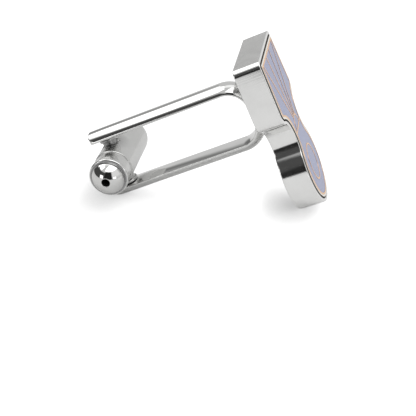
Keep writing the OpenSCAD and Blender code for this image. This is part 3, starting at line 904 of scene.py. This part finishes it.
class CUFFLINK_OT_head(bpy.types.Operator):
    """Build the head's shell and finish the border, the lines and the enamel of its face"""

    bl_idname = "cufflink.head"
    bl_label = "Head and Face"

    def execute(self, context):
        c = finishes()
        brushed = {"marks_mm": (2.4, 0.09, 0.09), "ripple_mm": 0.008, "uneven": 0.2}
        wall = plated("head_side", c.wall, c.wall_rough, marks_mm=(6, 0.15, 0.15),
                      ripple_mm=0.0035)
        top = plated("head_top", c.top, c.top_rough, depth=0.1, **brushed)
        # Painted light: the back is the top's brushed plating in a lighter copy.
        back = plated("head_back_painted_light", c.back, c.top_rough, **brushed)

        def head_part(centre, normal):
            return (normal[:, 2] > FACING) + 2 * (normal[:, 0] < -FACING)

        piece = shell("head_shell", head_rings(), [wall, top, back], pick=head_part)
        put(piece, "frame", "satin_metal", "head_case")
        h = head_sizes()
        border_top = frame_sizes().reach + h.thickness + h.border_proud
        border = enamelled("border_enamel", c.border, depth=0.05)
        # The border's sides get painted shade, as in the shade of its groove.
        dress("white_border", dark_sides(border, border_top))
        lines = plated("line_metal", c.line, rough=0.22, marks_mm=0.3, ripple_mm=0.001)
        dress("face_plate", lines)
        field = enamelled("field_enamel", c.field)
        for node in ENAMEL_NODES:
            dress(node, field)
        return {"FINISHED"}


class CUFFLINK_OT_frame(bpy.types.Operator):
    """Build the bent half round bar and the solder that holds it to the head"""

    bl_idname = "cufflink.frame"
    bl_label = "Frame and Solder"

    def execute(self, context):
        c = finishes()
        mirror = plated("frame_mirror", c.mirror, c.mirror_rough, marks_mm=(1.6, 0.5, 0.5),
                        ripple_mm=0.0006)
        put(shell("arm_bow", bow_rings(), [mirror]), "frame", "polished_metal", "arm_frame")
        solder = plated("solder_smooth", c.solder, rough=0.22, marks_mm=0.5, ripple_mm=0.004)
        put(shell("solder_fillet", solder_rings(), [solder]), "frame", "solder", "solder_bead")
        return {"FINISHED"}


class CUFFLINK_OT_pivot(bpy.types.Operator):
    """Build both bushings and finish the pivot pin"""

    bl_idname = "cufflink.pivot"
    bl_label = "Pin and Bushings"

    def execute(self, context):
        steel = plated("pin_steel", finishes().steel, rough=0.4, marks_mm=(0.4, 0.4, 0.05),
                       ripple_mm=0.0008)
        # Painted shade on the pin and bushings round the pin's top.
        shaded_round_pin(steel, low=0.6, start_mm=0.8, end_mm=1.2)
        for side, name in ((1, "upper_bushing"), (-1, "lower_bushing")):
            rings = lathe(bushing_profile(side), ROUND["bushing"], "z")
            ring = shell(name + "_ring", rings, [steel])
            put(ring, "toggle", "pin_steel", name)
        dress("pivot_pin", steel)
        return {"FINISHED"}


class CUFFLINK_OT_toggle(bpy.types.Operator):
    """Build the toggle: its turned core, its barrel and its ball cap"""

    bl_idname = "cufflink.toggle"
    bl_label = "Toggle"

    def execute(self, context):
        c, t = finishes(), toggle_sizes()
        turned = plated("toggle_mirror", c.mirror, c.mirror_rough, marks_mm=(2, 0.4, 2),
                        ripple_mm=0.0005)
        satin = plated("barrel_satin", c.satin, c.satin_rough, marks_mm=(3, 0.16, 3),
                       ripple_mm=0.0015, uneven=0.15)
        # Painted shade on the barrel round the pin's top, under the arm.
        shaded_round_pin(satin, low=0.72, start_mm=1.4, end_mm=2.2)
        seam = plated("seam_metal", c.seam, rough=0.25, marks_mm=0.3, ripple_mm=0.001)
        # Places along the toggle, where Y falls towards the ball, and distances from its axis.
        bead_from = 2 * t.rim_bead - t.collar_to
        seam_radius = t.barrel / 2 - 0.8 * t.rim_bead
        seam_end = -(t.collar_to + 1.6 * t.ball_step)
        hole_end = 0.16 * MM - (t.collar_to + t.cap_height)
        hole_radius = t.cap_hole / 2 + 0.01 * MM

        def pin_hole(name, materials):
            profile = np.array([(-t.barrel, 0), (-t.barrel, t.pin_hole / 2),
                                (t.barrel, t.pin_hole / 2), (t.barrel, 0)])
            return shell(name, lathe(profile, ROUND["hole"], "z"), materials)

        def core_part(centre, normal):
            y, r = centre[:, 1], np.hypot(centre[:, 0], centre[:, 2])
            return np.where((y < bead_from) & (r < seam_radius), 2, y > bead_from)

        def seat_part(centre, normal):
            return np.ones(len(centre))

        def cap_part(centre, normal):
            y, r = centre[:, 1], np.hypot(centre[:, 0], centre[:, 2])
            return np.where(y > seam_end, 2, (r < hole_radius) & (y > hole_end))

        core = shell("turned_core", lathe(core_profile(), ROUND["toggle"]), [turned, satin, seam],
                     pick=core_part)
        cut(core, [pin_hole("core_hole", [turned, satin])])
        put(core, "toggle", "polished_metal", "toggle_core")
        barrel = shell("bullet_barrel", lathe(barrel_profile(), ROUND["toggle"]), [satin, turned])
        cut(barrel, [pin_hole("barrel_hole", [satin, turned])] + [
            shell("seat", lathe(seat_cutter_profile(side), ROUND["seat"], "z"), [satin, turned],
                  pick=seat_part) for side in (1, -1)])
        put(barrel, "toggle", "barrel_metal", "toggle_barrel")
        ball = shell("ball_end", lathe(cap_profile(), ROUND["toggle"]),
                     [turned, dark_hole(), seam], pick=cap_part)
        put(ball, "toggle", "polished_metal", "ball_cap")
        return {"FINISHED"}


class CUFFLINK_OT_detent(bpy.types.Operator):
    """Finish the plunger and the spring inside the toggle"""

    bl_idname = "cufflink.detent"
    bl_label = "Plunger and Spring"

    def execute(self, context):
        c = finishes()
        brass = plated("plunger_brass", c.brass, rough=0.28, marks_mm=(1, 0.06, 1),
                       ripple_mm=0.001, depth=0.15)
        dress("detent_plunger", brass)
        wire = plated("spring_wire", c.spring, rough=0.3, marks_mm=0.2, ripple_mm=0.001,
                      depth=0.2)
        dress("detent_spring", wire)
        return {"FINISHED"}


class CUFFLINK_OT_stage(bpy.types.Operator):
    """Set up the table, the studio light and the camera"""

    bl_idname = "cufflink.stage"
    bl_label = "Studio"

    def execute(self, context):
        make_world()
        make_floor()
        make_lamp()
        make_camera()
        context.scene.view_settings.view_transform = "Standard"
        return {"FINISHED"}


class CUFFLINK_PT_panel(bpy.types.Panel):
    """Lists the steps that build the cufflink, and its sizes and colours"""

    bl_idname = "CUFFLINK_PT_panel"
    bl_label = "Cufflink"
    bl_space_type = "VIEW_3D"
    bl_region_type = "UI"
    bl_category = "Cufflink"

    def draw(self, context):
        for operator in OPERATORS:
            self.layout.operator(operator.bl_idname)
        for group in GROUPS:
            box = self.layout.box()
            values = getattr(context.scene, group)
            for key in values.__annotations__:
                box.prop(values, key)


GROUPS = {"cufflink_head": CufflinkHead, "cufflink_frame": CufflinkFrame,
          "cufflink_toggle": CufflinkToggle, "cufflink_finish": CufflinkFinish}
OPERATORS = (CUFFLINK_OT_stage, CUFFLINK_OT_head, CUFFLINK_OT_frame, CUFFLINK_OT_pivot,
             CUFFLINK_OT_toggle, CUFFLINK_OT_detent)


def register():
    for group, kind in GROUPS.items():
        bpy.utils.register_class(kind)
        setattr(bpy.types.Scene, group, bpy.props.PointerProperty(type=kind))
    for kind in (*OPERATORS, CUFFLINK_PT_panel):
        bpy.utils.register_class(kind)


def unregister():
    for kind in (CUFFLINK_PT_panel, *reversed(OPERATORS)):
        bpy.utils.unregister_class(kind)
    for group, kind in reversed(list(GROUPS.items())):
        delattr(bpy.types.Scene, group)
        bpy.utils.unregister_class(kind)


def main():
    """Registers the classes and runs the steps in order."""
    register()
    bpy.ops.cufflink.stage()
    bpy.ops.cufflink.head()
    bpy.ops.cufflink.frame()
    bpy.ops.cufflink.pivot()
    bpy.ops.cufflink.toggle()
    bpy.ops.cufflink.detent()


if __name__ == "__main__":
    main()
